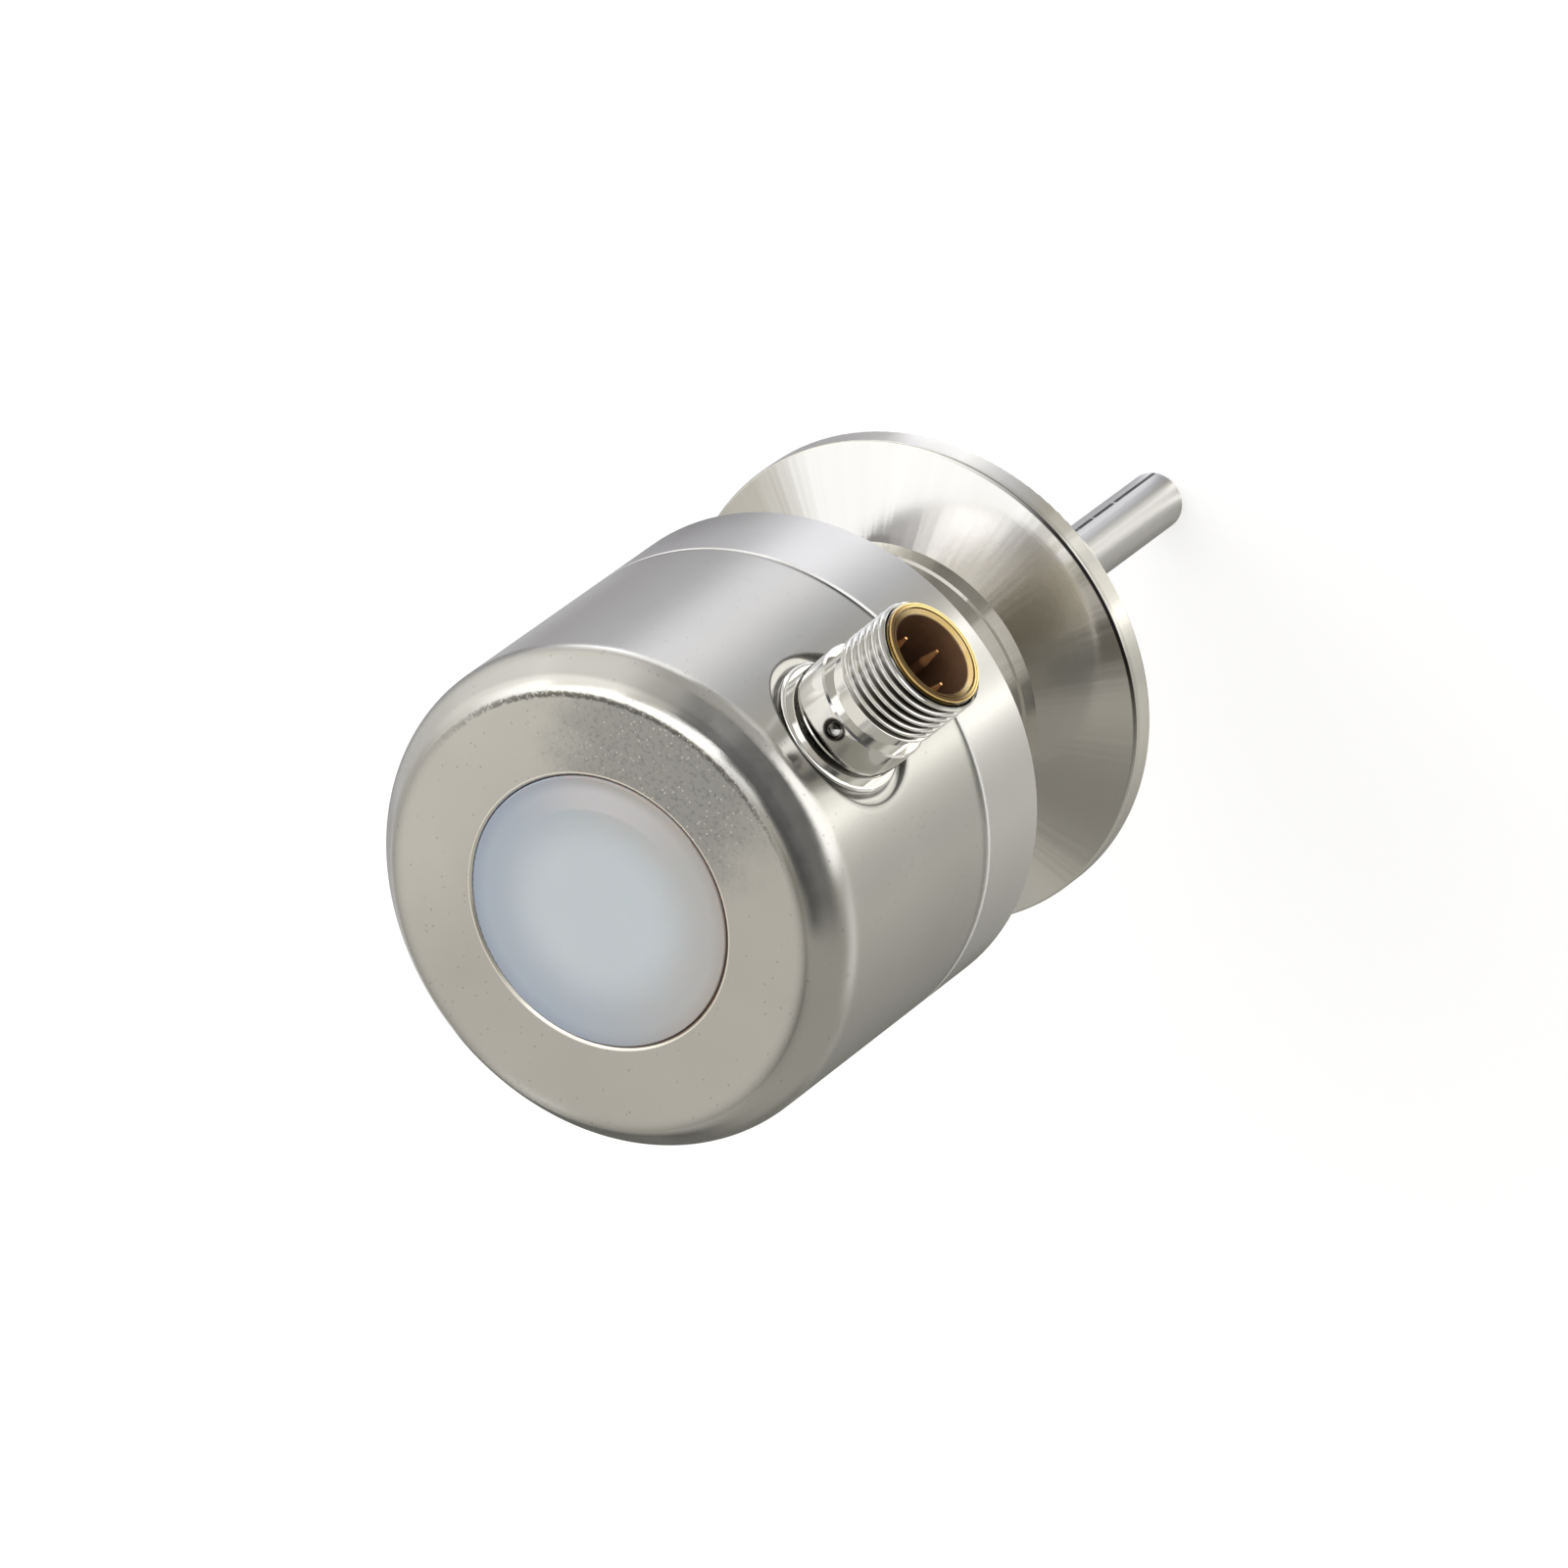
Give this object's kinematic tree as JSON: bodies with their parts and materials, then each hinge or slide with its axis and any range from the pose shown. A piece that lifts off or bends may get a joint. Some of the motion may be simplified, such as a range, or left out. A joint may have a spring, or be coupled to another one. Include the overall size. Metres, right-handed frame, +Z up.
{
  "type": "temperature transmitter",
  "caption": "Round metal housing with a bevelled cover and milky status window, side plug connector, clamp ferrule and short probe.",
  "frame": {"origin": "centre of the clamp ferrule's sealing face, on the axis of the housing and probe", "axes": "+Z up the axis from the sealing face to the status window, the probe points to -Z and the plug connector to -Y"},
  "size_m": [0.051, 0.0644, 0.1145],
  "materials": {
    "blasted_steel": "satin, finely blasted",
    "turned_steel": "finely turned, satin",
    "polished_steel": "polished",
    "nickel": "bright nickel plate",
    "window": "milky, smooth",
    "amber_plastic": "amber, satin",
    "contact": "gold plate",
    "seal": "matt",
    "white_plastic": "matt white",
    "black_plastic": "moulded",
    "light": "clear yellowish",
    "board": "lacquered circuit board",
    "component_body": "matt",
    "fastener": "bright",
    "lead_cover": "smooth wire cover",
    "wire": "bare wire",
    "filler": "heat-conducting filling",
    "ceramic": "fired ceramic"
  },
  "bodies": {
    "root": {"cover": "blasted_steel", "status_window": "window", "window_seal": "seal", "light_reflector": "white_plastic", "status_leds": "light", "led_board": "board", "board_screws": "fastener", "board_spacers": "fastener", "main_board": "board", "controller_chip": "black_plastic", "board_components": "component_body", "lead_header": "black_plastic", "sensor_header": "black_plastic", "board_standoffs": "fastener", "connector_shell": "nickel", "connector_seal": "seal", "connector_nut": "nickel", "contact_carrier": "amber_plastic", "contact_pins": "contact", "connector_leads": "lead_cover", "adapter_ring": "turned_steel", "housing_seal": "seal", "neck_nut": "fastener", "neck_seal": "seal", "clamp_ferrule": "polished_steel", "probe_tube": "polished_steel", "thermal_filler": "filler", "measuring_element": "ceramic", "element_insulator": "ceramic", "element_leads": "wire"}
  },
  "joints": []
}
